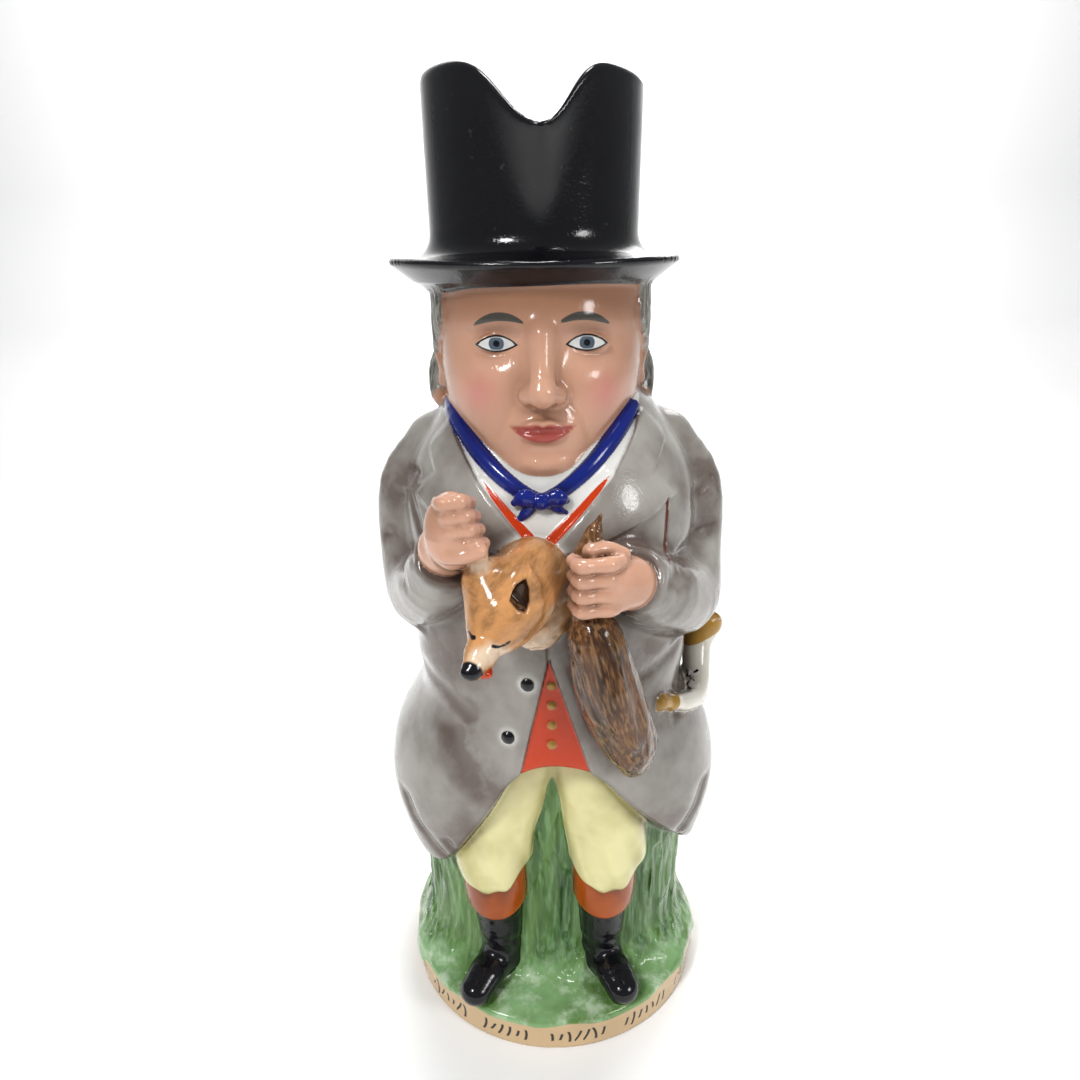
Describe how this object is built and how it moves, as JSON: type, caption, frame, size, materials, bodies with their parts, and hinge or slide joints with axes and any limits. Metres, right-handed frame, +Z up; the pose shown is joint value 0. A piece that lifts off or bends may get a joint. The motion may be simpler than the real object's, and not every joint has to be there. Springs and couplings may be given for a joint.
{
  "type": "toby jug",
  "caption": "Glazed ceramic toby jug: a standing huntsman whose tall open hat is the mouth, with a pouring lip at the front and a loop handle at the back.",
  "frame": {"origin": "middle of the flat underside of the round base", "axes": "+Z up, the figure looks along -Y, +X is the right-hand side for someone facing it"},
  "size_m": [0.1079, 0.1456, 0.276],
  "materials": {
    "glaze": "hand-painted under a clear gloss glaze: black hat and boots, grey coat, green base"
  },
  "bodies": {
    "root": {"jug": "glaze"}
  },
  "joints": []
}
